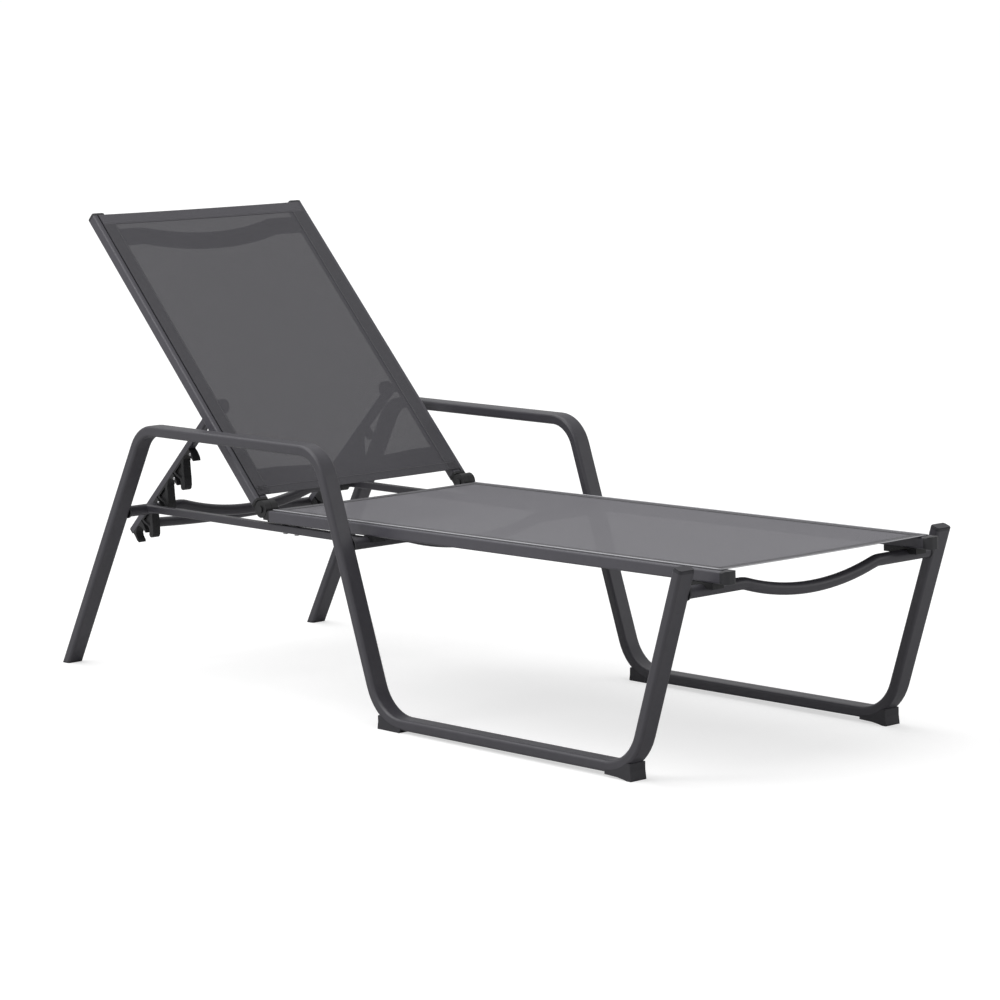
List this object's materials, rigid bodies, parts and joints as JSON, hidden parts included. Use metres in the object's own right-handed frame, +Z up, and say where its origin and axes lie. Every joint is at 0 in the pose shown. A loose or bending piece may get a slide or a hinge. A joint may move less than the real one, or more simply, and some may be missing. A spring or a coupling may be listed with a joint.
{
  "type": "reclining sun lounger",
  "caption": "Slung sun lounger with bent tube side frames, armrests and a backrest propped by a hooked stay.",
  "frame": {"origin": "on the floor, under the middle of the overall box", "axes": "X across the lounger, -Y towards the foot end, +Y towards the head end, +Z up"},
  "size_m": [0.68, 1.877, 0.9248],
  "materials": {
    "frame_coat": "anthracite powder coat, fine texture, satin",
    "rail_coat": "anthracite powder coat on extruded grooved rail, satin",
    "bar_coat": "anthracite powder coat on drawn tube, satin",
    "black_plastic": "black moulded nylon, matt",
    "spline_plastic": "black extruded spline rod",
    "steel": "zinc plated steel",
    "seat_sling": "open woven coated yarn mesh, dark grey",
    "back_sling": "open woven coated yarn mesh, dark grey"
  },
  "bodies": {
    "frame": {"side_frame_near": "black_plastic", "side_frame_far": "frame_coat", "post_cap_near": "black_plastic", "post_cap_far": "black_plastic", "foot_plug_near": "black_plastic", "foot_plug_far": "black_plastic", "toe_front_near": "black_plastic", "toe_front_far": "black_plastic", "toe_rear_near": "black_plastic", "toe_rear_far": "black_plastic", "stretcher_near": "black_plastic", "stretcher_far": "bar_coat", "saddle_foot_near": "black_plastic", "saddle_foot_far": "black_plastic", "saddle_mid_near": "black_plastic", "saddle_mid_far": "black_plastic", "seat_rail_near": "black_plastic", "seat_rail_far": "rail_coat", "seat_cap_near": "black_plastic", "seat_cap_far": "black_plastic", "seat_ear_near": "black_plastic", "seat_ear_far": "black_plastic", "seat_spline_near": "black_plastic", "seat_spline_far": "spline_plastic", "hinge_pin_near": "black_plastic", "hinge_pin_far": "steel", "crossbar_foot": "bar_coat", "crossbar_mid": "bar_coat", "crossbar_rear": "black_plastic", "rail_spacers": "black_plastic", "rail_screws": "steel", "seat_sling": "seat_sling"},
    "backrest": {"back_rail_near": "black_plastic", "back_rail_far": "rail_coat", "back_cap_near": "black_plastic", "back_cap_far": "black_plastic", "back_ear_near": "black_plastic", "back_ear_far": "black_plastic", "back_spline_near": "black_plastic", "back_spline_far": "spline_plastic", "pivot_bolt_near": "black_plastic", "pivot_bolt_far": "steel", "back_bar_upper": "bar_coat", "back_bar_lower": "bar_coat", "back_sling": "back_sling"},
    "stay": {"stay_arm_near": "black_plastic", "stay_arm_far": "bar_coat", "stay_bar": "bar_coat", "stay_plug_near": "black_plastic", "stay_plug_far": "black_plastic", "catch_near_1": "black_plastic", "catch_near_2": "black_plastic", "catch_near_3": "black_plastic", "catch_near_4": "black_plastic", "catch_far_1": "black_plastic", "catch_far_2": "black_plastic", "catch_far_3": "black_plastic", "catch_far_4": "black_plastic"}
  },
  "joints": [
    {"name": "recline", "type": "hinge", "parent": "frame", "child": "backrest", "pos_m": [0, 0.3376, 0.365], "axis": [1, 0, 0], "range_deg": [0, 28.5]},
    {"name": "stay_swing", "type": "hinge", "parent": "backrest", "child": "stay", "pos_m": [0, 0.52883, 0.54741], "axis": [1, 0, 0], "range_deg": [0, 84]}
  ]
}
